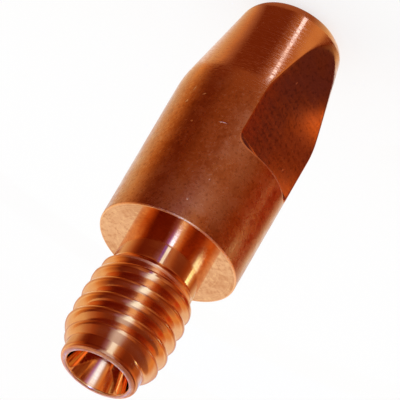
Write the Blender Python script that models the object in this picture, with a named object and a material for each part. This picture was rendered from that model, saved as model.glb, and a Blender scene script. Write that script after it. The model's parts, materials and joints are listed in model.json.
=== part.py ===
"""Welding contact tip: one turned piece of copper with an M6 thread, an 8 mm body and a coned nose.

Run it with: blender --background --python part.py, or from Blender's text editor.
Metres, +Z up. The tip stands on its nose: the origin is the middle of the nose face, and the
thread points up. The two spanner flats face -Y and +Y.
"""
import math

import bmesh
import bpy

MM = 0.001

# Driving dimensions, overall and body
OVERALL_LENGTH = 24.15 * MM
BODY_RADIUS = 4.0 * MM
SHANK_LENGTH = 8.3 * MM          # shoulder to the thread end
SHOULDER_EDGE_ROUND = 0.08 * MM

# Nose: a cone that runs into the body through a soft blend, with a rounded end
CONE_LENGTH = 6.3 * MM
NOSE_PLANE_RADIUS = 2.7 * MM     # where the cone, carried on, would meet the nose face
NOSE_ROUND = 1.35 * MM
CONE_BLEND = 5.8 * MM

# Spanner flats, milled from the nose with a round-cornered cutter
FLATS_ACROSS = 5.9 * MM
FLATS_LENGTH = 10.1 * MM
FLATS_CORNER = 0.6 * MM

# Relief groove between the shoulder and the thread
RELIEF_RADIUS = 2.38 * MM
RELIEF_LENGTH = 2.1 * MM
RELIEF_FILLET = 0.12 * MM

# Thread, M6 x 1, right-hand; its crests fall away in a slow curve at both ends
THREAD_CREST_RADIUS = 2.87 * MM
THREAD_PITCH = 1.0 * MM
THREAD_ANGLE = math.radians(60.0)
THREAD_DEPTH_TO_PITCH = 0.47
ROOT_FLAT_TO_PITCH = 0.14
CREST_BREAK = 0.06 * MM          # how deep the crests' edges are broken
CREST_BREAK_ANGLE = math.radians(60.0)
RUNOUT_LENGTH = 1.7 * MM         # towards the relief groove
RUNOUT_DROP = 0.21 * MM
LEAD_LENGTH = 1.1 * MM           # towards the pilot
LEAD_DROP = 0.42 * MM
GROOVE_OFFSET = 0.63 * MM        # first groove's middle below the thread end, at the +X side

# Pilot at the thread end, its rim, and the bore
PILOT_RADIUS = 2.23 * MM
PILOT_LENGTH = 0.9 * MM
RIM_ROUND = 0.3 * MM
MOUTH_RADIUS = 1.82 * MM
MOUTH_EDGE_BREAK = 0.05 * MM
FUNNEL_HALF_ANGLE = math.radians(13.7)
WIRE_BORE_RADIUS = 0.6 * MM
WIRE_BORE_EDGE_BREAK = 0.1 * MM

# Mesh fineness
ROUND_STEPS = 64
ARC_STEP = math.radians(18.0)
CREST_ARC_STEP = math.radians(7.0)
CUT_MARGIN = 1.0 * MM            # how far a cutter reaches past what it cuts
GROOVE_TOP_TO_PITCH = 0.96       # the groove cutter's own turns stay clear of each other

COPPER_COLOUR = (0.55, 0.20, 0.09, 1.0)


def clear_scene():
    for old in list(bpy.data.objects):
        bpy.data.objects.remove(old, do_unlink=True)


def copper_material():
    material = bpy.data.materials.new("copper")
    material.use_nodes = True
    shader = material.node_tree.nodes["Principled BSDF"]
    shader.inputs["Base Color"].default_value = COPPER_COLOUR
    shader.inputs["Metallic"].default_value = 1.0
    shader.inputs["Roughness"].default_value = 0.3
    return material


def arc(centre_radius, centre_height, size, start, end, finest=ARC_STEP):
    """Points of an arc in the (radius, height) plane, both ends among them."""
    steps = max(1, math.ceil(abs(end - start) / finest))
    points = []
    for step in range(steps + 1):
        angle = start + (end - start) * step / steps
        points.append((centre_radius + size * math.cos(angle), centre_height + size * math.sin(angle)))
    return points


def crest_curve(height, length, drop):
    """Points of the arc by which the crests fall away over a length; height is where it starts.

    A positive length rises from the start, a negative one falls. The start itself is the first point.
    """
    size = (length * length + drop * drop) / (2 * drop)
    sweep = math.asin(length / size)
    return arc(THREAD_CREST_RADIUS - size, height, size, 0.0, sweep, CREST_ARC_STEP)


def nose_outline():
    """From the wire bore's edge, round the nose and up the cone, to where the body is full size."""
    taper = math.atan2(BODY_RADIUS - NOSE_PLANE_RADIUS, CONE_LENGTH)
    round_centre = NOSE_PLANE_RADIUS + NOSE_ROUND * math.tan(taper) - NOSE_ROUND / math.cos(taper)
    blend_height = CONE_LENGTH + CONE_BLEND * math.tan(taper / 2)
    points = [(WIRE_BORE_RADIUS + WIRE_BORE_EDGE_BREAK, 0.0)]
    points += arc(round_centre, NOSE_ROUND, NOSE_ROUND, -math.pi / 2, -taper)
    points += arc(BODY_RADIUS - CONE_BLEND, blend_height, CONE_BLEND, -taper, 0.0)
    return points


def shank_outline():
    """From the shoulder's edge, along the relief groove, the thread's crests and the pilot, to the rim.

    The relief groove ends in a 45 degree rise to the thread, and the thread in one down to the pilot.
    """
    shoulder = OVERALL_LENGTH - SHANK_LENGTH
    relief_end = shoulder + RELIEF_LENGTH
    runout_radius = THREAD_CREST_RADIUS - RUNOUT_DROP
    runout_end = relief_end + runout_radius - RELIEF_RADIUS
    pilot_start = OVERALL_LENGTH - PILOT_LENGTH
    lead_radius = THREAD_CREST_RADIUS - LEAD_DROP
    lead_end = pilot_start - (lead_radius - PILOT_RADIUS)
    edge = SHOULDER_EDGE_ROUND
    points = arc(BODY_RADIUS - edge, shoulder - edge, edge, 0.0, math.pi / 2)
    points += arc(RELIEF_RADIUS + RELIEF_FILLET, shoulder + RELIEF_FILLET, RELIEF_FILLET, -math.pi / 2, -math.pi)
    points.append((RELIEF_RADIUS, relief_end))
    points += reversed(crest_curve(runout_end + RUNOUT_LENGTH, -RUNOUT_LENGTH, RUNOUT_DROP))
    points += crest_curve(lead_end - LEAD_LENGTH, LEAD_LENGTH, LEAD_DROP)
    points.append((PILOT_RADIUS, pilot_start))
    points += arc(PILOT_RADIUS - RIM_ROUND, OVERALL_LENGTH - RIM_ROUND, RIM_ROUND, 0.0, math.pi / 2)
    return points


def bore_outline():
    """From the mouth down the funnel and the wire bore, to the nose."""
    funnel_length = (MOUTH_RADIUS - WIRE_BORE_RADIUS) / math.tan(FUNNEL_HALF_ANGLE)
    return [
        (MOUTH_RADIUS + MOUTH_EDGE_BREAK, OVERALL_LENGTH),
        (MOUTH_RADIUS, OVERALL_LENGTH - MOUTH_EDGE_BREAK),
        (WIRE_BORE_RADIUS, OVERALL_LENGTH - MOUTH_EDGE_BREAK - funnel_length),
        (WIRE_BORE_RADIUS, WIRE_BORE_EDGE_BREAK),
    ]


def mesh_object(name, bm):
    bmesh.ops.recalc_face_normals(bm, faces=bm.faces)
    mesh = bpy.data.meshes.new(name)
    bm.to_mesh(mesh)
    bm.free()
    made = bpy.data.objects.new(name, mesh)
    bpy.context.collection.objects.link(made)
    return made


def turned(name, outline):
    """Turns a closed outline of (radius, height) points about Z."""
    bm = bmesh.new()
    verts = [bm.verts.new((radius, 0.0, height)) for radius, height in outline]
    for index, vert in enumerate(verts):
        bm.edges.new((vert, verts[(index + 1) % len(verts)]))
    bmesh.ops.spin(
        bm,
        geom=bm.verts[:] + bm.edges[:],
        cent=(0.0, 0.0, 0.0),
        axis=(0.0, 0.0, 1.0),
        angle=2 * math.pi,
        steps=ROUND_STEPS,
        use_merge=True,
    )
    return mesh_object(name, bm)


def as_cutter(cutter):
    cutter.hide_render = True
    cutter.display_type = "WIRE"
    return cutter


def thread_groove_cutter():
    """A helical V with a flat root and flared lips, from above the thread end down into the relief groove."""
    root = THREAD_CREST_RADIUS - THREAD_DEPTH_TO_PITCH * THREAD_PITCH
    lip = THREAD_CREST_RADIUS - CREST_BREAK
    half_root = ROOT_FLAT_TO_PITCH * THREAD_PITCH / 2
    half_lip = half_root + (lip - root) * math.tan(THREAD_ANGLE / 2)
    half_top = GROOVE_TOP_TO_PITCH * THREAD_PITCH / 2
    reach = lip + (half_top - half_lip) / math.tan(CREST_BREAK_ANGLE)
    upper_side = [(reach, half_top), (lip, half_lip), (root, half_root)]
    section = [(radius, -offset) for radius, offset in reversed(upper_side)] + upper_side
    top = OVERALL_LENGTH - GROOVE_OFFSET + THREAD_PITCH
    bottom = OVERALL_LENGTH - SHANK_LENGTH + RELIEF_LENGTH / 2
    steps = math.ceil((top - bottom) / THREAD_PITCH * ROUND_STEPS)
    bm = bmesh.new()
    rings = []
    for step in range(steps + 1):
        angle = -2 * math.pi * step / ROUND_STEPS
        height = top - THREAD_PITCH * step / ROUND_STEPS
        ring = []
        for radius, offset in section:
            ring.append(bm.verts.new((radius * math.cos(angle), radius * math.sin(angle), height + offset)))
        rings.append(ring)
    for upper, lower in zip(rings, rings[1:]):
        for index in range(len(section)):
            after = (index + 1) % len(section)
            bm.faces.new((upper[index], upper[after], lower[after], lower[index]))
    bm.faces.new(rings[0])
    bm.faces.new(rings[-1])
    return as_cutter(mesh_object("thread_groove_cutter", bm))


def flat_cutter(name, turn):
    """Removes one flat: a block with a round lower corner, slid across the body."""
    floor = FLATS_ACROSS / 2
    outside = BODY_RADIUS + CUT_MARGIN
    outline = [(floor, -CUT_MARGIN), (outside, -CUT_MARGIN), (outside, FLATS_LENGTH)]
    outline += arc(floor + FLATS_CORNER, FLATS_LENGTH - FLATS_CORNER, FLATS_CORNER, math.pi / 2, math.pi)
    bm = bmesh.new()
    near = [bm.verts.new((-outside, distance, height)) for distance, height in outline]
    face = bm.faces.new(near)
    swept = bmesh.ops.extrude_face_region(bm, geom=[face])
    moved = [item for item in swept["geom"] if isinstance(item, bmesh.types.BMVert)]
    bmesh.ops.translate(bm, verts=moved, vec=(2 * outside, 0.0, 0.0))
    cutter = mesh_object(name, bm)
    cutter.rotation_euler = (0.0, 0.0, turn)
    return as_cutter(cutter)


def cut(piece, cutter):
    boolean = piece.modifiers.new(cutter.name, "BOOLEAN")
    boolean.operation = "DIFFERENCE"
    boolean.solver = "EXACT"
    boolean.object = cutter


def build_contact_tip():
    tip = turned("contact_tip", nose_outline() + shank_outline() + bore_outline())
    tip.data.materials.append(copper_material())
    cut(tip, thread_groove_cutter())
    for side, turn in (("back", 0.0), ("front", math.pi)):
        cut(tip, flat_cutter("flat_cutter_" + side, turn))
    tip.data.shade_smooth()
    tip.data.set_sharp_from_angle(angle=math.radians(25.0))
    return tip


def main():
    clear_scene()
    build_contact_tip()


main()
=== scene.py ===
"""Looks of the welding contact tip: a fine mesh of the copper, its finishes, the studio and the camera.

The tip stands on its nose at the middle of the floor, thread up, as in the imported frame. The camera looks
down on the thread end and is rolled, so that the tip lies across the picture as in the photograph.
"""
import json
import math

import bmesh
import bpy
from mathutils import Matrix, Vector


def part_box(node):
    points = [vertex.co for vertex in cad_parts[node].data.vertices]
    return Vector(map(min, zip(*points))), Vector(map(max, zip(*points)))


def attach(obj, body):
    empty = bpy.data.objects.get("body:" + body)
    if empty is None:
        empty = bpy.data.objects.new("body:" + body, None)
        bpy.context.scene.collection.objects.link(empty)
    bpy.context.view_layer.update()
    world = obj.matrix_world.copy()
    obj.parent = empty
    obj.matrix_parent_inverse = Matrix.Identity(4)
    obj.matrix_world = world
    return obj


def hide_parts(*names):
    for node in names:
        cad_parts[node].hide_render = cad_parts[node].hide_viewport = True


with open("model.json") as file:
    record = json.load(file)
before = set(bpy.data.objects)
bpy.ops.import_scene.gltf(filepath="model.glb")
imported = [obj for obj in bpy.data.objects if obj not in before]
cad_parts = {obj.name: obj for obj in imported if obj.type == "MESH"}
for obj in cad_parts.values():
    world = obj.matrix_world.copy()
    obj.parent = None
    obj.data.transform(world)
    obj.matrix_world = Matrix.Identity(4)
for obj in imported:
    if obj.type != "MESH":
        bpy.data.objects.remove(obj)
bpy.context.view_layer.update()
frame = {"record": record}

MM = 0.001

# Sizes in millimetres: overall ones from the frame, the rest as the solid's, with rounder edges and crests
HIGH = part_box("contact_tip")[1]
LENGTH = HIGH.z / MM
BODY_RADIUS = HIGH.x / MM
MOUNT_HEIGHT = {mount["name"]: mount["pos_m"][2] / MM for mount in frame["record"]["mounts"]}
SHOULDER = MOUNT_HEIGHT["seat_shoulder"]
SHOULDER_EDGE_ROUND = 0.09

CONE_LENGTH = 6.3
NOSE_PLANE_RADIUS = 2.7
NOSE_ROUND = 1.35
CONE_BLEND = 5.8

FLAT_DISTANCE = 2.95
FLATS_LENGTH = 10.1
FLATS_CORNER = 0.6
WALL_EDGE = 0.12
SIDE_EDGE = 0.06

RELIEF_RADIUS = 2.38
RELIEF_LENGTH = 2.1

CREST_RADIUS = 2.87
PITCH = 1.0
FLANK_SLOPE = math.tan(math.radians(60.0))
THREAD_DEPTH = 0.47
ROOT_FLAT = 0.05
CREST_SOFTNESS = 0.32
ROOT_SOFTNESS = 0.06
RUNOUT_LENGTH = 1.7
RUNOUT_DROP = 0.21
LEAD_LENGTH = 1.1
LEAD_DROP = 0.42
GROOVE_OFFSET = 0.63

PILOT_RADIUS = 2.23
PILOT_LENGTH = 0.9
RIM_ROUND = 0.3
RUBBED_FROM = 2.15
MOUTH_RADIUS = 1.82
MOUTH_EDGE_BREAK = 0.05
FUNNEL_HALF_ANGLE = math.radians(13.7)
WIRE_BORE_RADIUS = 0.6
EXIT_EDGE_BREAK = 0.1

# Fineness of the mesh
EVEN_COLUMNS = 288
EDGE_COLUMNS = 8
EDGE_SPREAD = math.radians(2.0)
ROWS_PER_PITCH = 16
SHARP_ANGLE = math.radians(55.0)
MERGE_DISTANCE = 1e-5
NOSE_FACE_STEPS = 5
NOSE_ROUND_STEPS = 14
CONE_STEPS = 18
FLAT_STEPS = 12
CORNER_STEPS = 8
WALL_STEPS = 3
WALL_EDGE_STEPS = 5
BODY_STEPS = 14
SHOULDER_EDGE_STEPS = 5
SHOULDER_STEPS = 8
NECK_STEPS = 6
RISE_STEPS = 8
FALL_STEPS = 6
PILOT_STEPS = 5
RIM_STEPS = 9
FUNNEL_STEPS = 12
WIRE_BORE_STEPS = 8

# Worked out from the sizes
TAPER = math.atan2(BODY_RADIUS - NOSE_PLANE_RADIUS, CONE_LENGTH)
NOSE_ROUND_CENTRE = NOSE_PLANE_RADIUS + NOSE_ROUND * math.tan(TAPER) - NOSE_ROUND / math.cos(TAPER)
NOSE_ROUND_TOP = NOSE_ROUND * (1 - math.sin(TAPER))
BLEND_TOP = CONE_LENGTH + CONE_BLEND * math.tan(TAPER / 2)
BLEND_BOTTOM = BLEND_TOP - CONE_BLEND * math.sin(TAPER)
CORNER_START = FLATS_LENGTH - FLATS_CORNER
CORNER_OUTSIDE = FLAT_DISTANCE + FLATS_CORNER
ROOT_RADIUS = CREST_RADIUS - THREAD_DEPTH
RUNOUT_RADIUS = CREST_RADIUS - RUNOUT_DROP
RISE_START = SHOULDER + RELIEF_LENGTH
RISE_END = RISE_START + RUNOUT_RADIUS - RELIEF_RADIUS
PILOT_START = LENGTH - PILOT_LENGTH
LEAD_RADIUS = CREST_RADIUS - LEAD_DROP
FALL_START = PILOT_START - (LEAD_RADIUS - PILOT_RADIUS)

ZONES = ("body", "flat", "turned", "bore", "faced", "edge", "rim")


def ends_close(start, end, steps, skip_first=False):
    """Values from start to end that crowd together at both ends."""
    turns = [math.pi * step / steps for step in range(steps + 1)]
    values = [start + (end - start) * (1 - math.cos(turn)) / 2 for turn in turns]
    return values[1:] if skip_first else values


def arc(centre_radius, centre_height, size, start, end, steps):
    points = []
    for step in range(steps + 1):
        angle = start + (end - start) * step / steps
        points.append((centre_radius + size * math.cos(angle), centre_height + size * math.sin(angle)))
    return points


def soft_min(one, other, softness):
    overlap = max(softness - abs(one - other), 0.0)
    return min(one, other) - overlap * overlap / (4 * softness)


def soft_max(one, other, softness):
    return -soft_min(-one, -other, softness)


def nose_radius(height):
    """Radius of the turned nose and body at a height."""
    if height < NOSE_ROUND_TOP:
        return NOSE_ROUND_CENTRE + math.sqrt(NOSE_ROUND ** 2 - (NOSE_ROUND - height) ** 2)
    if height < BLEND_BOTTOM:
        return NOSE_PLANE_RADIUS + height * math.tan(TAPER)
    if height < BLEND_TOP:
        return BODY_RADIUS - CONE_BLEND + math.sqrt(CONE_BLEND ** 2 - (BLEND_TOP - height) ** 2)
    return BODY_RADIUS


def nose_height(radius):
    """Height above the nose rounding at which the nose has a radius."""
    if radius >= BODY_RADIUS:
        return BLEND_TOP
    if radius >= nose_radius(BLEND_BOTTOM):
        return BLEND_TOP - math.sqrt(CONE_BLEND ** 2 - (radius - BODY_RADIUS + CONE_BLEND) ** 2)
    return max((radius - NOSE_PLANE_RADIUS) / math.tan(TAPER), NOSE_ROUND_TOP)


def thread_envelope(height):
    """Radius of the crests at a height, without the groove."""
    if height < RISE_START:
        return RELIEF_RADIUS
    if height < RISE_END:
        return RELIEF_RADIUS + height - RISE_START
    if height < RISE_END + RUNOUT_LENGTH:
        size = (RUNOUT_LENGTH ** 2 + RUNOUT_DROP ** 2) / (2 * RUNOUT_DROP)
        away = RISE_END + RUNOUT_LENGTH - height
        return CREST_RADIUS - size + math.sqrt(size ** 2 - away ** 2)
    if height > PILOT_START:
        return PILOT_RADIUS
    if height > FALL_START:
        return PILOT_RADIUS + PILOT_START - height
    if height > FALL_START - LEAD_LENGTH:
        size = (LEAD_LENGTH ** 2 + LEAD_DROP ** 2) / (2 * LEAD_DROP)
        away = height - (FALL_START - LEAD_LENGTH)
        return CREST_RADIUS - size + math.sqrt(size ** 2 - away ** 2)
    return CREST_RADIUS


def thread_radius(angle, height):
    """Radius of the thread's surface: the crests, cut by a helical groove."""
    middle = LENGTH - GROOVE_OFFSET + PITCH * angle / (2 * math.pi)
    away = abs((height - middle + PITCH / 2) % PITCH - PITCH / 2)
    flank = ROOT_RADIUS + (away - ROOT_FLAT / 2) * FLANK_SLOPE
    groove = soft_max(ROOT_RADIUS, flank, ROOT_SOFTNESS)
    return soft_min(thread_envelope(height), groove, CREST_SOFTNESS)


def flat_rows(angle):
    """The rows of one column from the nose rounding to above the flat: cone, flat, corner, wall, edge."""
    lean = max(abs(math.sin(angle)), 1e-6)
    start = nose_height(FLAT_DISTANCE / lean)
    rows = []
    for height in ends_close(NOSE_ROUND_TOP, start, CONE_STEPS, skip_first=True):
        rows.append((soft_min(nose_radius(height), FLAT_DISTANCE / lean, SIDE_EDGE), height, "body"))
    reach = BODY_RADIUS * lean
    turn = 0.0
    wall = 0.0
    if reach >= CORNER_OUTSIDE:
        turn = math.pi / 2
        wall = BODY_RADIUS - CORNER_OUTSIDE / lean
    elif reach > FLAT_DISTANCE:
        turn = math.acos(min(1.0, (CORNER_OUTSIDE - reach) / FLATS_CORNER))
    corner_height = CORNER_START + FLATS_CORNER * math.sin(turn)
    kept_turn = turn if wall > WALL_EDGE else max(turn - (WALL_EDGE - wall) / FLATS_CORNER, 0.0)
    flat_end = CORNER_START if turn > 0 else CORNER_START - WALL_EDGE
    for height in ends_close(start, flat_end, FLAT_STEPS, skip_first=True):
        rows.append((soft_min(nose_radius(height), FLAT_DISTANCE / lean, SIDE_EDGE), height, "flat"))
    for step in range(1, CORNER_STEPS + 1):
        part = kept_turn * step / CORNER_STEPS
        distance = CORNER_OUTSIDE - FLATS_CORNER * math.cos(part)
        height = flat_end + FLATS_CORNER * math.sin(part)
        rows.append((soft_min(BODY_RADIUS, distance / lean, SIDE_EDGE), height, "flat"))
    wall_radius, wall_height = rows[-1][0], rows[-1][1]
    wall_end = BODY_RADIUS - WALL_EDGE if wall > WALL_EDGE else wall_radius
    for step in range(1, WALL_STEPS + 1):
        rows.append((wall_radius + (wall_end - wall_radius) * step / WALL_STEPS, wall_height, "flat"))
    for step in range(1, WALL_EDGE_STEPS + 1):
        share = step / WALL_EDGE_STEPS
        radius = (1 - share) ** 2 * wall_end + (1 - (1 - share) ** 2) * BODY_RADIUS
        height = (1 - share ** 2) * corner_height + share ** 2 * (corner_height + WALL_EDGE)
        height -= (1 - share) ** 2 * (corner_height - wall_height)
        rows.append((radius, height, "wall edge"))
    return rows


def lower_rows(angle):
    """The rows of one column from the wire bore's exit up to where the helical rows start."""
    exit_radius = WIRE_BORE_RADIUS + EXIT_EDGE_BREAK
    rows = [(WIRE_BORE_RADIUS, EXIT_EDGE_BREAK, "bore"), (exit_radius, 0.0, "body")]
    for radius in ends_close(exit_radius, NOSE_ROUND_CENTRE, NOSE_FACE_STEPS, skip_first=True):
        rows.append((radius, 0.0, "body"))
    nose = arc(NOSE_ROUND_CENTRE, NOSE_ROUND, NOSE_ROUND, -math.pi / 2, -TAPER, NOSE_ROUND_STEPS)
    for radius, height in nose[1:]:
        rows.append((radius, height, "body"))
    rows += flat_rows(angle)
    edge = SHOULDER_EDGE_ROUND
    for height in ends_close(rows[-1][1], SHOULDER - edge, BODY_STEPS, skip_first=True):
        rows.append((BODY_RADIUS, height, "body"))
    shoulder_edge = arc(BODY_RADIUS - edge, SHOULDER - edge, edge, 0.0, math.pi / 2, SHOULDER_EDGE_STEPS)
    for radius, height in shoulder_edge[1:]:
        rows.append((radius, height, "edge"))
    for radius in ends_close(BODY_RADIUS - edge, RELIEF_RADIUS, SHOULDER_STEPS, skip_first=True):
        rows.append((radius, SHOULDER, "faced"))
    for height in ends_close(SHOULDER, RISE_START, NECK_STEPS, skip_first=True):
        rows.append((RELIEF_RADIUS, height, "turned"))
    for step in range(1, RISE_STEPS + 1):
        height = RISE_START + (RISE_END - RISE_START) * step / RISE_STEPS
        rows.append((thread_radius(angle, height), height, "turned"))
    return rows


def helical_rows(angle):
    """Rows that follow the helix, so that crests and roots run along mesh lines, held at both ends."""
    turns = math.ceil((FALL_START - RISE_END) / PITCH) + 2
    first = LENGTH - GROOVE_OFFSET - PITCH * turns
    rows = []
    for index in range(turns * ROWS_PER_PITCH):
        height = first + PITCH * (index / ROWS_PER_PITCH + angle / (2 * math.pi))
        height = min(max(height, RISE_END), FALL_START)
        rows.append((thread_radius(angle, height), height, "turned"))
    return rows


def upper_rows(angle):
    """The rows of one column from the lead's end over the rim and down the bore."""
    rows = []
    for step in range(1, FALL_STEPS + 1):
        height = FALL_START + (PILOT_START - FALL_START) * step / FALL_STEPS
        rows.append((thread_radius(angle, height), height, "turned"))
    round_start = LENGTH - RIM_ROUND
    for height in ends_close(PILOT_START, round_start, PILOT_STEPS, skip_first=True):
        rows.append((PILOT_RADIUS, height, "turned"))
    rim = arc(PILOT_RADIUS - RIM_ROUND, round_start, RIM_ROUND, 0.0, math.pi / 2, RIM_STEPS)
    for radius, height in rim[1:]:
        rows.append((radius, height, "turned" if radius > RUBBED_FROM else "rim"))
    rows.append((MOUTH_RADIUS + MOUTH_EDGE_BREAK, LENGTH, "rim"))
    top = LENGTH - MOUTH_EDGE_BREAK
    funnel_length = (MOUTH_RADIUS - WIRE_BORE_RADIUS) / math.tan(FUNNEL_HALF_ANGLE)
    rows.append((MOUTH_RADIUS, top, "rim"))
    for share in ends_close(0.0, 1.0, FUNNEL_STEPS, skip_first=True):
        radius = MOUTH_RADIUS + (WIRE_BORE_RADIUS - MOUTH_RADIUS) * share
        rows.append((radius, top - funnel_length * share, "bore"))
    for height in ends_close(top - funnel_length, EXIT_EDGE_BREAK, WIRE_BORE_STEPS, skip_first=True)[:-1]:
        rows.append((WIRE_BORE_RADIUS, height, "bore"))
    return rows


def column_angles():
    angles = [2 * math.pi * index / EVEN_COLUMNS for index in range(EVEN_COLUMNS)]
    side = math.asin(FLAT_DISTANCE / BODY_RADIUS)
    for edge in (side, math.pi - side, math.pi + side, 2 * math.pi - side):
        for index in range(EDGE_COLUMNS):
            angles.append(edge + EDGE_SPREAD * (2 * index / (EDGE_COLUMNS - 1) - 1))
    return sorted(angles)


def build_tip():
    angles = column_angles() + [2 * math.pi]
    side = math.asin(FLAT_DISTANCE / BODY_RADIUS)
    points, columns, zones = [], [], []
    for angle in angles:
        rows = lower_rows(angle) + helical_rows(angle) + upper_rows(angle)
        columns.append(range(len(points), len(points) + len(rows)))
        zones = [zone for radius, height, zone in rows]
        ahead, aside = math.cos(angle), math.sin(angle)
        for radius, height, zone in rows:
            points.append((radius * ahead * MM, radius * aside * MM, height * MM))
    faces, face_zones = [], []
    for index, (near, far) in enumerate(zip(columns, columns[1:])):
        middle = abs(math.sin((angles[index] + angles[index + 1]) / 2))
        for row in range(len(near)):
            after = (row + 1) % len(near)
            faces.append((near[row], far[row], far[after], near[after]))
            zone = zones[after]
            if zone in ("flat", "wall edge"):
                on_flat = "flat" if zone == "flat" else "edge"
                zone = on_flat if middle > math.sin(side) else "body"
            face_zones.append(ZONES.index(zone))
    mesh = bpy.data.meshes.new("contact_tip_copper")
    mesh.from_pydata(points, [], faces)
    mesh.polygons.foreach_set("material_index", face_zones)
    bm = bmesh.new()
    bm.from_mesh(mesh)
    bmesh.ops.remove_doubles(bm, verts=bm.verts[:], dist=MERGE_DISTANCE * MM)
    bmesh.ops.recalc_face_normals(bm, faces=bm.faces[:])
    bm.to_mesh(mesh)
    bm.free()
    mesh.shade_smooth()
    mesh.set_sharp_from_angle(angle=SHARP_ANGLE)
    tip = bpy.data.objects.new("contact_tip_copper", mesh)
    bpy.context.scene.collection.objects.link(tip)
    return tip


SPOT_CORE = 0.35                 # share of a soft patch's reach that is as strong as its middle


class Nodes:
    """One material's nodes. An input that is given a socket is linked to it, and any other value is set."""

    def __init__(self, name):
        self.material = bpy.data.materials.new(name)
        self.material.use_nodes = True
        self.tree = self.material.node_tree
        self.shader = self.tree.nodes["Principled BSDF"]
        self.surface = self.tree.nodes["Material Output"]

    def feed(self, node, inputs):
        for name, value in inputs.items():
            if isinstance(value, bpy.types.NodeSocket):
                self.tree.links.new(value, node.inputs[name])
            else:
                node.inputs[name].default_value = value

    def add(self, kind, inputs=None, **settings):
        node = self.tree.nodes.new("ShaderNode" + kind)
        for name, value in settings.items():
            setattr(node, name, value)
        self.feed(node, inputs or {})
        return node

    def calculate(self, operation, *values):
        return self.add("Math", dict(enumerate(values)), operation=operation).outputs["Value"]

    def span(self, value, from_low, from_high, low, high):
        """A value moved from one range into another along a soft step, held at both ends."""
        inputs = {"Value": value, "From Min": from_low, "From Max": from_high, "To Min": low, "To Max": high}
        return self.add("MapRange", inputs, interpolation_type="SMOOTHSTEP").outputs["Result"]

    def noise(self, place, grain, detail=2.0):
        """Cloudy noise from 0 to 1 whose clouds are about a grain wide, in millimetres."""
        inputs = {"Vector": place, "Scale": 1 / grain, "Detail": detail}
        return self.add("TexNoise", inputs).outputs["Fac"]

    def lines(self, along, spacing, detail=2.0):
        """Noise from 0 to 1 that changes along one value only."""
        inputs = {"W": along, "Scale": 1 / spacing, "Detail": detail}
        return self.add("TexNoise", inputs, noise_dimensions="1D").outputs["Fac"]

    def mix(self, share, one, other):
        """A colour between one, at share 0, and other, at share 1."""
        node = self.add("Mix", {0: share}, data_type="RGBA")
        colours = [socket for socket in node.inputs if socket.type == "RGBA"]
        for socket, colour in zip(colours, (one, other)):
            if isinstance(colour, bpy.types.NodeSocket):
                self.tree.links.new(colour, socket)
            else:
                socket.default_value = (*colour, 1.0)
        return next(socket for socket in node.outputs if socket.type == "RGBA")

    def place(self):
        """The object's own coordinates, in millimetres."""
        own = self.add("TexCoord").outputs["Object"]
        return self.add("VectorMath", {0: own, "Scale": 1 / MM}, operation="SCALE").outputs["Vector"]

    def stretched(self, place, by):
        return self.add("VectorMath", {0: place, 1: by}, operation="MULTIPLY").outputs["Vector"]

    def from_axis(self, place):
        """Height of a place, and its distance from the tip's axis."""
        height = self.add("SeparateXYZ", {"Vector": place}).outputs["Z"]
        across = self.stretched(place, (1.0, 1.0, 0.0))
        return height, self.add("VectorMath", {0: across}, operation="LENGTH").outputs["Value"]

    def spot(self, place, middle, turn, sizes):
        """A soft oval patch, 1 in its middle and 0 outside."""
        inputs = {"Vector": place, "Location": middle, "Rotation": turn, "Scale": sizes}
        local = self.add("Mapping", inputs, vector_type="TEXTURE").outputs["Vector"]
        away = self.add("VectorMath", {0: local}, operation="LENGTH").outputs["Value"]
        return self.span(away, SPOT_CORE, 1.0, 1.0, 0.0)

    def metal(self, colour, roughness, relief, rise):
        """Bare metal; the relief, from 0 to 1, rises by some thousandths of a millimetre."""
        bump = self.add("Bump", {"Height": relief, "Distance": rise * MM * MM, "Strength": 1.0})
        inputs = {"Base Color": colour, "Metallic": 1.0, "Roughness": roughness}
        inputs["Normal"] = bump.outputs["Normal"]
        self.feed(self.shader, inputs)
        return self.material


# Copper, as it looks under white light
BRIGHT = (0.82, 0.42, 0.19)
BURNISHED = (0.90, 0.50, 0.22)
ORANGE = (0.74, 0.33, 0.13)
TARNISHED = (0.66, 0.27, 0.075)
BROWNED = (0.54, 0.215, 0.07)
HAZED = (0.70, 0.41, 0.23)
FACED = (0.62, 0.25, 0.085)
MILLED = (0.60, 0.27, 0.12)
NICKED = (0.96, 0.68, 0.42)
# Pale copper of rubbed edges; on the edges and the thread's first edge it is also a painted highlight
RUB_AND_HIGHLIGHT = (0.93, 0.50, 0.25)
PITTED = (0.36, 0.125, 0.040)
FUNNEL = (0.90, 0.54, 0.29)
FUNNEL_DARK = (0.84, 0.46, 0.22)
RIM_DARK = (0.90, 0.38, 0.16)
RIM_PALE = (0.97, 0.52, 0.26)

# Small dents and scratches on the body: degrees about the axis, height, length, width, and lean from level
BODY_MARKS = (
    (-32.3, 9.55, 0.66, 0.11, 11.0),
    (-8.2, 9.99, 0.14, 0.12, 0.0),
    (7.3, 8.66, 0.24, 0.17, 50.0),
    (6.4, 7.80, 0.36, 0.12, 80.0),
    (-5.8, 8.12, 0.26, 0.10, 20.0),
    (-38.2, 14.66, 0.16, 0.12, 0.0),
    (-44.9, 12.98, 0.12, 0.12, 0.0),
    (96.0, 12.10, 0.55, 0.10, 35.0),
    (148.0, 8.40, 0.30, 0.12, -20.0),
    (171.0, 13.20, 0.18, 0.15, 0.0),
    (-128.0, 11.70, 0.45, 0.09, -60.0),
    (-160.0, 14.30, 0.15, 0.14, 0.0),
)
# The same on the flats: which side, distance from the middle, height, length, width and lean
FLAT_MARKS = (
    (-1, 0.97, 4.60, 0.26, 0.08, 75.0),
    (-1, -1.38, 8.67, 0.36, 0.10, 60.0),
    (1, 0.60, 6.30, 0.40, 0.08, 30.0),
)
MARK_DEPTH = 0.3                 # how far from the surface a mark still colours it
MARK_CUT = 9.0                   # how deep marks go, against the relief of the finish
MARK_ROUGHNESS = 0.5


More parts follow.
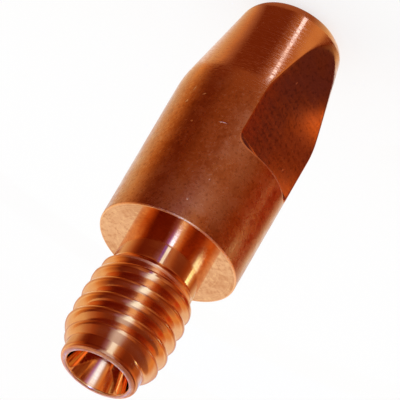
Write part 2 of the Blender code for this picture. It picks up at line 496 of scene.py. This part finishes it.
def mark_patch(nodes, place, point, facing, length, width, lean):
    """The patch of one mark, whose long side leans up from level by some degrees."""
    up = Vector((0.0, 0.0, 1.0))
    level = up.cross(facing)
    turn = math.radians(lean)
    along = level * math.cos(turn) + up * math.sin(turn)
    axes = Matrix((along, facing.cross(along), facing)).transposed()
    return nodes.spot(place, point, axes.to_euler(), (length / 2, width / 2, MARK_DEPTH))


def most(nodes, patches):
    found = patches[0]
    for patch in patches[1:]:
        found = nodes.calculate("MAXIMUM", found, patch)
    return found


def body_marks(nodes, place):
    patches = []
    for degrees, height, length, width, lean in BODY_MARKS:
        facing = Vector((math.cos(math.radians(degrees)), math.sin(math.radians(degrees)), 0.0))
        point = facing * BODY_RADIUS + Vector((0.0, 0.0, height))
        patches.append(mark_patch(nodes, place, point, facing, length, width, lean))
    return most(nodes, patches)


def flat_marks(nodes, place):
    patches = []
    for side, aside, height, length, width, lean in FLAT_MARKS:
        point = Vector((aside, side * FLAT_DISTANCE, height))
        patches.append(mark_patch(nodes, place, point, Vector((0.0, side, 0.0)), length, width, lean))
    return most(nodes, patches)


# The nose is turned bright up to here, and the drawn bar above it is tarnished
TARNISH_FROM = 5.2
TARNISH_TO = 8.0


def body_copper():
    """Drawn and tarnished bar, and the bright cone and nose that were turned on its end."""
    nodes = Nodes("copper_body")
    place = nodes.place()
    height, distance = nodes.from_axis(place)
    clouds = nodes.noise(place, 2.6, 3.0)
    mottling = nodes.noise(place, 0.55, 4.0)
    specks = nodes.noise(place, 0.16, 1.0)
    drawn = nodes.noise(nodes.stretched(place, (1.0, 1.0, 0.06)), 0.22, 2.0)
    marks = body_marks(nodes, place)

    ragged = nodes.calculate("ADD", height, nodes.span(mottling, 0.0, 1.0, -0.9, 0.9))
    tarnish = nodes.span(ragged, TARNISH_FROM, TARNISH_TO, 0.0, 1.0)

    rings = nodes.lines(nodes.calculate("ADD", height, distance), 0.085, 1.0)
    bright = nodes.mix(nodes.span(clouds, 0.3, 0.7, 0.0, 1.0), ORANGE, BRIGHT)
    dull = nodes.mix(nodes.span(mottling, 0.25, 0.75, 0.0, 1.0), BROWNED, TARNISHED)
    dull = nodes.mix(nodes.span(clouds, 0.40, 0.66, 0.0, 0.75), dull, HAZED)
    dull = nodes.mix(nodes.span(specks, 0.56, 0.74, 0.0, 0.85), dull, HAZED)
    dull = nodes.mix(nodes.span(specks, 0.28, 0.45, 0.55, 0.0), dull, PITTED)
    colour = nodes.mix(tarnish, bright, dull)
    colour = nodes.mix(marks, colour, NICKED)

    dashes = nodes.noise(nodes.stretched(place, (0.35, 0.35, 1.0)), 0.10, 1.0)
    turned_roughness = nodes.span(nodes.calculate("ADD", rings, dashes), 0.75, 1.25, 0.07, 0.34)
    dull_roughness = nodes.span(mottling, 0.25, 0.75, 0.20, 0.34)
    roughness = nodes.add("Mix", {0: tarnish, 2: turned_roughness, 3: dull_roughness}).outputs[0]
    roughness = nodes.calculate("MAXIMUM", roughness, nodes.calculate("MULTIPLY", marks, MARK_ROUGHNESS))

    turned_relief = nodes.calculate("ADD", nodes.calculate("MULTIPLY", rings, 0.5), dashes)
    turned_relief = nodes.calculate("MULTIPLY", turned_relief, nodes.span(tarnish, 0.0, 1.0, 0.9, 0.0))
    grain = nodes.calculate("ADD", specks, drawn)
    grain = nodes.calculate("MULTIPLY", grain, nodes.span(tarnish, 0.0, 1.0, 0.1, 0.8))
    relief = nodes.calculate("ADD", turned_relief, grain)
    relief = nodes.calculate("SUBTRACT", relief, nodes.calculate("MULTIPLY", marks, MARK_CUT))
    return nodes.metal(colour, roughness, relief, 1.6)


def flat_copper():
    """Milled flats: faint cutter marks across them, a clean edge at the corner."""
    nodes = Nodes("copper_flat")
    place = nodes.place()
    height = nodes.from_axis(place)[0]
    clouds = nodes.noise(place, 1.5, 3.0)
    specks = nodes.noise(place, 0.20, 2.0)
    bowed = nodes.calculate("ADD", height, nodes.span(clouds, 0.0, 1.0, -0.08, 0.08))
    cuts = nodes.lines(bowed, 0.30, 1.0)
    marks = flat_marks(nodes, place)
    colour = nodes.mix(nodes.span(clouds, 0.3, 0.7, 0.0, 1.0), MILLED, TARNISHED)
    colour = nodes.mix(nodes.span(cuts, 0.55, 0.75, 0.0, 0.2), colour, ORANGE)
    colour = nodes.mix(nodes.span(specks, 0.30, 0.48, 0.6, 0.0), colour, PITTED)
    colour = nodes.mix(marks, colour, NICKED)
    roughness = nodes.span(nodes.calculate("ADD", cuts, specks), 0.6, 1.4, 0.14, 0.22)
    relief = nodes.calculate("ADD", cuts, nodes.calculate("MULTIPLY", specks, 0.4))
    relief = nodes.calculate("SUBTRACT", relief, nodes.calculate("MULTIPLY", marks, MARK_CUT))
    return nodes.metal(colour, roughness, relief, 0.5)


THREAD_EDGE_HIGHLIGHT = RISE_END + 0.03     # where a pale band painted round the thread's first edge stands in for the highlight line along it


def turned_copper():
    """The bright turned neck, thread and pilot: fine rings, paler where the crests rub, and a pale band
    round the thread's first edge that is a painted highlight.
    """
    nodes = Nodes("copper_turned")
    place = nodes.place()
    height, distance = nodes.from_axis(place)
    clouds = nodes.noise(place, 1.1, 3.0)
    rings = nodes.lines(nodes.calculate("ADD", height, distance), 0.06, 2.0)
    worn = nodes.span(distance, CREST_RADIUS - 0.12, CREST_RADIUS, 0.0, 0.5)
    threaded = nodes.span(height, RISE_START, RISE_END, 0.0, 0.05)
    threaded = nodes.calculate("MULTIPLY", threaded, nodes.span(height, FALL_START, PILOT_START, 1.0, 0.2))
    colour = nodes.mix(nodes.span(clouds, 0.35, 0.7, 0.0, 0.6), BRIGHT, ORANGE)
    colour = nodes.mix(worn, colour, BURNISHED)
    # A pale band round the thread's first edge: a painted highlight, the bright line along that edge, with
    # some roughness added.
    away = nodes.calculate("ABSOLUTE", nodes.calculate("SUBTRACT", height, THREAD_EDGE_HIGHLIGHT))
    edge_highlight = nodes.span(away, 0.03, 0.09, 0.8, 0.0)
    colour = nodes.mix(edge_highlight, colour, RUB_AND_HIGHLIGHT)
    roughness = nodes.span(nodes.calculate("ADD", rings, clouds), 0.6, 1.4, 0.07, 0.15)
    scuffed = nodes.calculate("MAXIMUM", threaded, nodes.calculate("MULTIPLY", edge_highlight, 0.3))
    roughness = nodes.calculate("ADD", roughness, scuffed)
    return nodes.metal(colour, roughness, rings, 0.35)


def faced_copper():
    """The shoulder's face, with the rings of the facing cut and lighter and darker sweeps round it."""
    nodes = Nodes("copper_faced")
    place = nodes.place()
    distance = nodes.from_axis(place)[1]
    outward = nodes.add("VectorMath", {0: nodes.stretched(place, (1.0, 1.0, 0.0))}, operation="NORMALIZE")
    sweeps = nodes.noise(outward.outputs["Vector"], 0.55, 3.0)
    flecks = nodes.noise(place, 0.28, 3.0)
    rings = nodes.lines(distance, 0.07, 2.0)
    colour = nodes.mix(nodes.span(sweeps, 0.32, 0.68, 0.0, 0.9), BRIGHT, FACED)
    colour = nodes.mix(nodes.span(flecks, 0.48, 0.68, 0.0, 0.8), colour, FACED)
    colour = nodes.mix(nodes.span(flecks, 0.32, 0.44, 0.6, 0.0), colour, BURNISHED)
    colour = nodes.mix(nodes.span(rings, 0.55, 0.75, 0.0, 0.4), colour, BURNISHED)
    roughness = nodes.span(rings, 0.3, 0.7, 0.03, 0.08)
    return nodes.metal(colour, roughness, rings, 0.3)


def bore_copper():
    """The drilled funnel: smooth and bright, with faint rings."""
    nodes = Nodes("copper_bore")
    place = nodes.place()
    height = nodes.from_axis(place)[0]
    clouds = nodes.noise(place, 0.7, 2.0)
    rings = nodes.lines(height, 0.09, 2.0)
    colour = nodes.mix(nodes.span(clouds, 0.35, 0.7, 0.0, 0.7), FUNNEL, FUNNEL_DARK)
    roughness = nodes.span(rings, 0.3, 0.7, 0.04, 0.09)
    return nodes.metal(colour, roughness, rings, 0.3)


def edge_copper():
    """Sharp edges of the shoulder and the flats, rubbed pale, and painted pale as well to stand in for the
    thin highlight line along them.
    """
    nodes = Nodes("copper_edge")
    place = nodes.place()
    clouds = nodes.noise(place, 0.6, 3.0)
    rubs = nodes.noise(place, 0.12, 2.0)
    # Pale edge colour: partly rubbed copper, partly a painted highlight line along the edge.
    colour = nodes.mix(nodes.span(clouds, 0.35, 0.65, 0.0, 1.0), RUB_AND_HIGHLIGHT, BURNISHED)
    roughness = nodes.span(rubs, 0.3, 0.7, 0.30, 0.46)
    return nodes.metal(colour, roughness, rubs, 1.5)


def rim_copper():
    """The rim of the bore, scuffed by the torch it is screwed into."""
    nodes = Nodes("copper_rim")
    place = nodes.place()
    clouds = nodes.noise(place, 0.8, 3.0)
    scuffs = nodes.noise(place, 0.14, 2.0)
    colour = nodes.mix(nodes.span(clouds, 0.35, 0.65, 0.0, 1.0), RIM_DARK, RIM_PALE)
    colour = nodes.mix(nodes.span(scuffs, 0.55, 0.75, 0.0, 0.6), colour, RIM_PALE)
    roughness = nodes.span(scuffs, 0.3, 0.7, 0.38, 0.52)
    return nodes.metal(colour, roughness, scuffs, 1.2)


FINISHES = {
    "body": body_copper,
    "flat": flat_copper,
    "turned": turned_copper,
    "bore": bore_copper,
    "faced": faced_copper,
    "edge": edge_copper,
    "rim": rim_copper,
}


# The photograph's view: above the thread end, with the picture rolled over
VIEW_ELEVATION = math.radians(29.2)
VIEW_AZIMUTH = math.radians(44.5)
VIEW_ROLL = math.radians(210.28)
VIEW_DISTANCE = 0.5
PIXELS_PER_MM = 18.95
PICTURE_PIXELS = 400
SENSOR_WIDTH = 36.0
AIM_BELOW_END = 12.06
AIM_ASIDE = 0.0712


def add_camera():
    toward = Vector((
        math.sin(VIEW_AZIMUTH) * math.cos(VIEW_ELEVATION),
        -math.cos(VIEW_AZIMUTH) * math.cos(VIEW_ELEVATION),
        math.sin(VIEW_ELEVATION),
    ))
    level = Vector((math.cos(VIEW_AZIMUTH), math.sin(VIEW_AZIMUTH), 0.0))
    rising = toward.cross(level)
    right = level * math.cos(VIEW_ROLL) + rising * math.sin(VIEW_ROLL)
    up = toward.cross(right)
    aim = Vector((0.0, 0.0, LENGTH - AIM_BELOW_END)) - level * AIM_ASIDE
    data = bpy.data.cameras.new("camera")
    data.sensor_width = SENSOR_WIDTH
    data.lens = SENSOR_WIDTH * VIEW_DISTANCE / (PICTURE_PIXELS / PIXELS_PER_MM * MM)
    data.clip_start = 0.01
    camera = bpy.data.objects.new("camera", data)
    bpy.context.scene.collection.objects.link(camera)
    place = Matrix.Translation(aim * MM + toward * VIEW_DISTANCE)
    camera.matrix_world = place @ Matrix((right, up, toward)).transposed().to_4x4()
    bpy.context.scene.camera = camera


# The studio's paints: light tones, golds, browns, reds, and the cold light of lamps
WHITE = (1.0, 1.0, 1.0)
CREAM = (0.98, 0.84, 0.60)
STRAW = (0.82, 0.62, 0.38)
GOLD = (0.84, 0.43, 0.14)
HONEY = (0.70, 0.36, 0.16)
TAN = (0.56, 0.26, 0.12)
AMBER = (0.48, 0.16, 0.04)
CLAY = (0.44, 0.19, 0.11)
BROWN = (0.36, 0.13, 0.06)
RUST = (0.35, 0.08, 0.02)
RED = (0.40, 0.04, 0.006)
MAROON = (0.20, 0.042, 0.014)
WINE = (0.14, 0.018, 0.006)
UMBER = (0.27, 0.11, 0.06)
ROSE = (0.38, 0.15, 0.15)
LILAC = (0.38, 0.22, 0.45)
PEARL = (0.88, 0.80, 0.95)
MINT = (0.80, 0.92, 0.74)
SKY = (0.72, 0.85, 1.30)
ICE = (1.20, 1.75, 2.70)
IRIS = (0.30, 0.16, 1.0)
VIOLET = (0.6, 0.6, 9.0)
PEACH = (1.5, 1.1, 0.9)
SUN = (2.5, 3.4, 2.7)
GLARE = (2.3, 7.7, 39.0)
GLINT = (2.1, 5.5, 11.0)

# Tones by direction, in degrees from the camera's own, positive towards its left: the tent and outer roof
TENT_TONES = (
    (-180, WHITE),
    (-150, WHITE),
    (-112, CREAM),
    (-98, GOLD),
    (-82, AMBER),
    (-68, WINE),
    (-25, MAROON),
    (-14, LILAC),
    (-8, SKY),
    (-4, ICE),
    (5, ICE),
    (14, HONEY),
    (22, AMBER),
    (35, MAROON),
    (60, RUST),
    (75, TAN),
    (90, GOLD),
    (104, GOLD),
    (126, WHITE),
    (180, WHITE),
)
# The roof beside the rim, for the thread's steep flanks
ROOF_TONES = (
    (-180, WHITE),
    (-120, WHITE),
    (-100, CREAM),
    (-82, STRAW),
    (-66, TAN),
    (-50, RUST),
    (-36, MAROON),
    (-18, MAROON),
    (-6, SKY),
    (4, SKY),
    (14, BROWN),
    (24, MAROON),
    (60, MAROON),
    (90, BROWN),
    (112, TAN),
    (130, CREAM),
    (150, WHITE),
    (180, WHITE),
)
# The band in the sky that the neck mirrors by way of the shoulder
HIGH_TONES = (
    (-180, WHITE),
    (-110, WHITE),
    (-97, CREAM),
    (-82, AMBER),
    (-67, MAROON),
    (-24, MAROON),
    (-17, LILAC),
    (-9, VIOLET),
    (-5, GLARE),
    (1, GLARE),
    (5, ICE),
    (12, WHITE),
    (20, HONEY),
    (29, RUST),
    (52, RUST),
    (65, TAN),
    (75, SKY),
    (83, GLINT),
    (95, GLINT),
    (105, WHITE),
    (180, WHITE),
)
# The paper that the upper neck mirrors
NECK_TONES = (
    (-180, AMBER),
    (-142, AMBER),
    (-122, STRAW),
    (-97, TAN),
    (-82, RUST),
    (-67, WINE),
    (-20, WINE),
    (-6, BROWN),
    (4, TAN),
    (12, TAN),
    (20, RUST),
    (28, MAROON),
    (50, MAROON),
    (66, RUST),
    (78, HONEY),
    (80, SUN),
    (88, SUN),
    (94, CREAM),
    (99, GOLD),
    (108, AMBER),
    (130, STRAW),
    (180, STRAW),
)
# The card level with the shoulder that the pilot mirrors, and the same without its strip for the thread
PILOT_TONES = (
    (-180, PEARL),
    (-142, STRAW),
    (-112, STRAW),
    (-97, TAN),
    (-82, MAROON),
    (-67, WINE),
    (-27, MAROON),
    (-17, LILAC),
    (-8, SKY),
    (-3, ICE),
    (5, ICE),
    (12, STRAW),
    (17, TAN),
    (27, RUST),
    (38, MAROON),
    (75, MAROON),
    (86, AMBER),
    (108, AMBER),
    (127, PEARL),
    (145, SKY),
    (180, SKY),
)
THREAD_TONES = tuple(tone for tone in PILOT_TONES if abs(tone[0]) > 15)
# The paper that the body mirrors
BROWN_TONES = (
    (-180, WHITE),
    (-143, WHITE),
    (-133, CREAM),
    (-118, STRAW),
    (-104, GOLD),
    (-91, AMBER),
    (-78, MAROON),
    (-58, MAROON),
    (-36, BROWN),
    (-12, BROWN),
    (8, CLAY),
    (26, CLAY),
    (42, BROWN),
    (60, RUST),
    (79, RED),
    (114, RED),
    (124, AMBER),
    (136, CREAM),
    (148, WHITE),
    (180, WHITE),
)
# The paper that the cone mirrors
NOSE_TONES = (
    (-180, WHITE),
    (-124, WHITE),
    (-98, STRAW),
    (-80, HONEY),
    (-70, CLAY),
    (-58, MAROON),
    (-18, MAROON),
    (-8, BROWN),
    (-2, TAN),
    (14, TAN),
    (22, HONEY),
    (33, HONEY),
    (42, BROWN),
    (54, MAROON),
    (84, STRAW),
    (105, WHITE),
    (180, WHITE),
)
# The paper that the nose's rounding mirrors
RING_TONES = (
    (-180, WHITE),
    (-110, STRAW),
    (-70, BROWN),
    (10, BROWN),
    (40, STRAW),
    (60, WHITE),
    (180, WHITE),
)
NOSE_LAMP = (1.5, 1.9, 3.5)
NOSE_LAMP_START, NOSE_LAMP_END, NOSE_LAMP_LIFT = -1.0, 4.4, 0.05
SHEET = (0.75, 0.50, 0.40)

# The tent and what hangs in it: radii in millimetres, heights and directions in degrees
ZENITH = 90
TENT_RADIUS = 1500.0
LAMP_RADIUS = 1380.0
CEILING_RADIUS = 1300.0
CEILING_BOTTOM = 48
CEILING_START, CEILING_END = -95, 150
CEILING_TONE = (0.17, 0.032, 0.014)
HIGH_BAND_LOW, HIGH_BAND_TOP = 27.0, 31.5
EMBER_LAMP_TOP = 10
EMBER_LAMP_START, EMBER_LAMP_END = 84, 98
EMBER_LAMP_LIGHT = (0.80, 0.22, 0.09)

# Cards level with the shoulder, lit on top only: name, inner and outer radius, directions and light
UPPER_CARDS = (
    ("near_strip", 4.02, 6.2, -4.5, 1.8, ICE),
    ("lilac_side", 4.02, 6.2, -10.0, -4.5, IRIS),
    ("left_wash", 6.2, 9.5, -30.0, -11.5, CLAY),
    ("left_strip", 6.2, 14.6, -11.5, -6.0, SKY),
    ("bright_strip", 6.2, 14.6, -6.0, 6.5, ICE),
    ("right_strip", 6.2, 14.6, 6.5, 11.0, WHITE),
    ("right_wash", 6.2, 9.5, 11.0, 28.0, TAN),
    ("far_strip", 17.6, 60.0, -8.0, 9.0, ICE),
)

# Cards that lie round the tip, in millimetres from its axis
CARD_STEP = 5                    # degrees between a card's own corners
CARD_LIFT = 0.02
RING_INNER, NOSE_INNER, NOSE_OUTER = 1.75, 3.1, 9.5
BROWN_OUTER, NECK_OUTER, THREAD_OUTER = 32.2, 34.8, 41.0
PILOT_INNER, PILOT_OUTER = 14.6, 17.6
ROOF_HEIGHT, ROOF_INNER, ROOF_MIDDLE, ROOF_OUTER = LENGTH + 0.1, 2.3, 5.0, 17.5


def towards(degrees, radius, height=0.0):
    """A point of the studio, in a direction from the tip, before the studio is turned to the camera."""
    turn = -math.radians(degrees)
    return (radius * math.cos(turn) * MM, radius * math.sin(turn) * MM, height * MM)


def mesh_from(name, points, faces, material):
    mesh = bpy.data.meshes.new(name)
    mesh.from_pydata(points, [], faces)
    mesh.materials.append(material)
    made = bpy.data.objects.new(name, mesh)
    bpy.context.scene.collection.objects.link(made)
    return made


def only_in_reflections(card):
    """A card that the metal mirrors, but that neither the camera nor the floor sees."""
    card.rotation_euler = (0.0, 0.0, VIEW_AZIMUTH - math.pi / 2)
    card.visible_camera = False
    card.visible_diffuse = False
    card.visible_shadow = False
    card.visible_transmission = False
    card.visible_volume_scatter = False
    return card


def swept_card(name, rows, start, end, material):
    """A card between directions, made of rows of (radius, height) that are swept about the tip's axis."""
    steps = max(2, math.ceil(abs(end - start) / CARD_STEP))
    directions = [start + (end - start) * step / steps for step in range(steps + 1)]
    points, faces = [], []
    for radius, height in rows:
        points += [towards(direction, radius, height) for direction in directions]
    for row in range(len(rows) - 1):
        for step in range(steps):
            low = row * (steps + 1) + step
            faces.append((low, low + 1, low + steps + 2, low + steps + 1))
    return only_in_reflections(mesh_from(name, points, faces, material))


def floor_card(name, inner, outer, start, end, material, lift=CARD_LIFT):
    return swept_card(name, [(inner, lift), (outer, lift)], start, end, material)


def standing_card(name, distance, low, high, start, end, material):
    return swept_card(name, [(distance, low), (distance, high)], start, end, material)


def glowing(name, light):
    nodes = Nodes(name)
    lamp = nodes.add("Emission", {"Color": (*light, 1.0)})
    nodes.tree.links.new(lamp.outputs["Emission"], nodes.surface.inputs["Surface"])
    nodes.tree.nodes.remove(nodes.shader)
    return nodes


def toned_cloth(name, tones):
    """Cloth or paper whose tone changes with the direction about the tip only."""
    nodes = glowing(name, WHITE)
    parts = nodes.add("SeparateXYZ", {"Vector": nodes.add("TexCoord").outputs["Object"]})
    across = nodes.calculate("MULTIPLY", parts.outputs["Y"], -1.0)
    turn = nodes.calculate("ARCTAN2", across, parts.outputs["X"])
    share = nodes.add("MapRange", {"Value": turn, "From Min": -math.pi, "From Max": math.pi})
    ramp = nodes.add("ValToRGB", {"Fac": share.outputs["Result"]})
    stops = ramp.color_ramp.elements
    stops[0].color = (*tones[0][1], 1.0)
    stops[1].color = (*tones[-1][1], 1.0)
    for degrees, tone in tones[1:-1]:
        stops.new((degrees + 180) / 360).color = (*tone, 1.0)
    nodes.tree.links.new(ramp.outputs["Color"], nodes.tree.nodes["Emission"].inputs["Color"])
    return nodes


def dome_rows(radius, bottom, top, steps):
    """Rows up the inside of a dome, between two heights in degrees."""
    angles = [math.radians(bottom + (top - bottom) * step / steps) for step in range(steps + 1)]
    return [(radius * math.cos(angle), radius * math.sin(angle)) for angle in angles]


def add_tent():
    """The tent, its dark ceiling, the band in the sky that the neck mirrors, and a small ember lamp."""
    cloth = toned_cloth("tent_cloth", TENT_TONES).material
    swept_card("tent", dome_rows(TENT_RADIUS, 0, ZENITH, 18), -180, 180, cloth)
    dark = glowing("ceiling_cloth", CEILING_TONE).material
    rows = dome_rows(CEILING_RADIUS, CEILING_BOTTOM, ZENITH, 8)
    swept_card("ceiling", rows, CEILING_START, CEILING_END, dark)
    rows = dome_rows(LAMP_RADIUS, HIGH_BAND_LOW, HIGH_BAND_TOP, 3)
    swept_card("high_band", rows, -180, 180, toned_cloth("high_band", HIGH_TONES).material)
    rows = dome_rows(LAMP_RADIUS, 0, EMBER_LAMP_TOP, 3)
    ember = glowing("ember_lamp", EMBER_LAMP_LIGHT).material
    swept_card("ember_lamp", rows, EMBER_LAMP_START, EMBER_LAMP_END, ember)


def add_lying_cards():
    """What the tip's sides mirror: rings of toned paper on the floor, and polished card further out."""
    nodes = Nodes("polished_card")
    nodes.feed(nodes.shader, {"Base Color": (*SHEET, 1.0), "Metallic": 1.0, "Roughness": 0.0})
    floor_card("polished_sheet", THREAD_OUTER, TENT_RADIUS, -180, 180, nodes.material)
    papers = (
        ("thread_paper", NECK_OUTER, THREAD_OUTER, THREAD_TONES),
        ("neck_paper", BROWN_OUTER, NECK_OUTER, NECK_TONES),
        ("brown_paper", NOSE_OUTER, BROWN_OUTER, BROWN_TONES),
        ("nose_paper", NOSE_INNER, NOSE_OUTER, NOSE_TONES),
        ("ring_paper", RING_INNER, NOSE_INNER, RING_TONES),
    )
    for name, inner, outer, tones in papers:
        floor_card(name, inner, outer, -180, 180, toned_cloth(name, tones).material)
    lamp = glowing("nose_lamp", NOSE_LAMP).material
    floor_card("nose_lamp", NOSE_INNER, NOSE_OUTER, NOSE_LAMP_START, NOSE_LAMP_END, lamp, NOSE_LAMP_LIFT)


def one_sided(nodes):
    """Makes a glowing card let everything through from behind."""
    behind = nodes.add("NewGeometry").outputs["Backfacing"]
    clear = nodes.add("BsdfTransparent").outputs["BSDF"]
    lamp = nodes.tree.nodes["Emission"].outputs["Emission"]
    mixed = nodes.add("MixShader", {0: behind, 1: lamp, 2: clear})
    nodes.tree.links.new(mixed.outputs["Shader"], nodes.surface.inputs["Surface"])
    return nodes.material


def add_level_cards():
    """Cards lit on top, level with the shoulder, and a roof lit from below, level with the rim.

    Neck, pilot and thread mirror them. The body, below the first, and the bore, above the roof, don't.
    """
    height = SHOULDER + CARD_LIFT
    for name, inner, outer, start, end, light in UPPER_CARDS:
        floor_card(name, inner, outer, start, end, one_sided(glowing(name, light)), height)
    pilot = one_sided(toned_cloth("pilot_paper", PILOT_TONES))
    floor_card("pilot_paper", PILOT_INNER, PILOT_OUTER, -180, 180, pilot, height)
    inner = one_sided(toned_cloth("inner_roof", ROOF_TONES))
    outer = one_sided(toned_cloth("outer_roof", TENT_TONES))
    floor_card("inner_roof", ROOF_MIDDLE, ROOF_INNER, -180, 180, inner, ROOF_HEIGHT)
    floor_card("outer_roof", ROOF_OUTER, ROOF_MIDDLE, -180, 180, outer, ROOF_HEIGHT)


# The card that the front flat mirrors: its own tone, and patches on it by middle and reach, in millimetres
SHADE = (0.15, 0.044, 0.044)
SHADE_NEAR, SHADE_FAR, SHADE_LEFT, SHADE_LEFT_END = -3.0, 4.3, 4.2, 22.0
SHADE_LIFT = 0.04
EMBER = (0.25, 0.06, 0.03)
EMBER_MIDDLE, EMBER_REACH = (1.0, -16.5, 0.0), (2.0, 8.0, 1.0)
GLOW = (1.65, 0.58, 0.20)
GLOW_MIDDLE, GLOW_REACH = (0.2, -11.8, 0.0), (1.8, 2.6, 1.0)
BAR_MIDDLE, BAR_REACH = (0.3, -20.6, 0.0), (2.6, 2.6, 1.0)
UNTURNED = (0.0, 0.0, 0.0)


def add_square_card(name, near, far, left_from, left_to, lift, nodes):
    """A card on the floor, placed by how far it reaches towards the camera and to the camera's left."""
    corners = ((near, left_from), (near, left_to), (far, left_to), (far, left_from))
    points = [(forward * MM, -left * MM, lift * MM) for forward, left in corners]
    return only_in_reflections(mesh_from(name, points, [(0, 1, 2, 3)], nodes.material))


def add_flat_card():
    """What the front flat mirrors: a dark card with a ragged red glow and bar on a dim ember."""
    nodes = glowing("shade_card", WHITE)
    place = nodes.place()
    ember = nodes.spot(place, EMBER_MIDDLE, UNTURNED, EMBER_REACH)
    glow = nodes.spot(place, GLOW_MIDDLE, UNTURNED, GLOW_REACH)
    bar = nodes.spot(place, BAR_MIDDLE, UNTURNED, BAR_REACH)
    colour = nodes.mix(ember, SHADE, EMBER)
    ragged = nodes.span(nodes.noise(place, 1.6, 3.0), 0.36, 0.62, 0.25, 1.0)
    lit = nodes.calculate("MULTIPLY", nodes.calculate("MAXIMUM", glow, bar), ragged)
    colour = nodes.mix(lit, colour, GLOW)
    nodes.tree.links.new(colour, nodes.tree.nodes["Emission"].inputs["Color"])
    add_square_card("shade_card", SHADE_NEAR, SHADE_FAR, SHADE_LEFT, SHADE_LEFT_END, SHADE_LIFT, nodes)


# Cards that stand round the tip for the bore. The band behind it is a lamp with a lilac side and a gold one
BORE_CARD_DISTANCE = 20.0
BORE_BAND_START, BORE_BAND_END = 121, 262
BORE_BAND_BOTTOM, BORE_BAND_TOP = 32.9, 35.2
BORE_LAMP = (1.4, 3.4, 11.0)
BORE_LILAC = (0.55, 0.60, 3.5)
BORE_TONES = (
    (-180, BORE_LAMP),
    (-170, BORE_LAMP),
    (-150, BORE_LILAC),
    (-132, LILAC),
    (-114, MAROON),
    (-98, WINE),
    (121, GOLD),
    (132, STRAW),
    (150, SKY),
    (172, BORE_LAMP),
    (180, BORE_LAMP),
)
# The others: name, bottom, top, directions and light
BORE_CARDS = (
    ("under_lamp", 30.5, 32.9, 150, 225, ROSE),
    ("side_card", 30.5, 32.9, 141, 150, RUST),
    ("bore_ceiling", 38.6, 62.0, 100, 236, WINE),
    ("right_low", 31.2, 33.1, 68, 121, RUST),
    ("right_high", 33.1, 35.2, 106, 121, HONEY),
    ("left_low", 31.0, 33.1, -98, -62, UMBER),
    ("left_high", 33.1, 35.2, -90, -46, MINT),
    ("left_card", 29.2, 31.4, -62, -26, UMBER),
    ("left_near", 31.4, 34.4, -46, -14, MINT),
    ("near_low", 27.2, 31.0, -14, 12, WHITE),
    ("near_right", 28.0, 30.4, 12, 54, UMBER),
    ("near_high", 30.4, 34.0, 12, 50, MINT),
    ("right_card", 30.4, 32.6, 54, 67, TAN),
    ("right_lamp", 33.2, 36.4, 50, 67, PEACH),
    ("left_lamp", 36.4, 38.4, -121, -90, PEACH),
)


def add_bore_cards():
    """What only the bore mirrors: a toned band behind the tip, a dark ceiling, cards and small lamps."""
    far = BORE_CARD_DISTANCE
    band = toned_cloth("bore_band", BORE_TONES).material
    standing_card("bore_band", far, BORE_BAND_BOTTOM, BORE_BAND_TOP, BORE_BAND_START, BORE_BAND_END, band)
    for name, low, high, start, end, light in BORE_CARDS:
        standing_card(name, far, low, high, start, end, glowing(name, light).material)


FLOOR_SIZE = 4.0
FLOOR_OWN_WHITE = 0.75


def add_floor():
    """A white floor. Most of its white is its own where it is seen, and the rest shows the tip's shadow."""
    nodes = Nodes("floor_white")
    nodes.feed(nodes.shader, {"Base Color": (0.95, 0.95, 0.95, 1.0), "Roughness": 0.6})
    white = nodes.add("Emission").outputs["Emission"]
    path = nodes.add("LightPath").outputs
    seen = path["Is Camera Ray"]
    for ray in ("Is Glossy Ray", "Is Transmission Ray"):
        seen = nodes.calculate("MAXIMUM", seen, path[ray])
    share = nodes.calculate("MULTIPLY", seen, FLOOR_OWN_WHITE)
    mixed = nodes.add("MixShader", {0: share, 1: nodes.shader.outputs["BSDF"], 2: white})
    nodes.tree.links.new(mixed.outputs["Shader"], nodes.surface.inputs["Surface"])
    half = FLOOR_SIZE / 2
    corners = [(-half, -half, 0.0), (half, -half, 0.0), (half, half, 0.0), (-half, half, 0.0)]
    mesh_from("floor", corners, [(0, 1, 2, 3)], nodes.material)


def add_world():
    world = bpy.data.worlds.new("studio")
    bpy.context.scene.world = world
    world.use_nodes = True
    background = world.node_tree.nodes["Background"]
    background.inputs["Color"].default_value = (1.0, 1.0, 1.0, 1.0)
    background.inputs["Strength"].default_value = 1.0


tip = build_tip()
for zone in ZONES:
    tip.data.materials.append(FINISHES[zone]())
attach(tip, "root")
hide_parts("contact_tip")

add_camera()
add_floor()
add_world()
add_tent()
add_lying_cards()
add_level_cards()
add_flat_card()
add_bore_cards()

bpy.context.scene.view_settings.view_transform = "Standard"
bpy.context.scene.cycles.blur_glossy = 0.0  # what the polished card shows again stays sharp
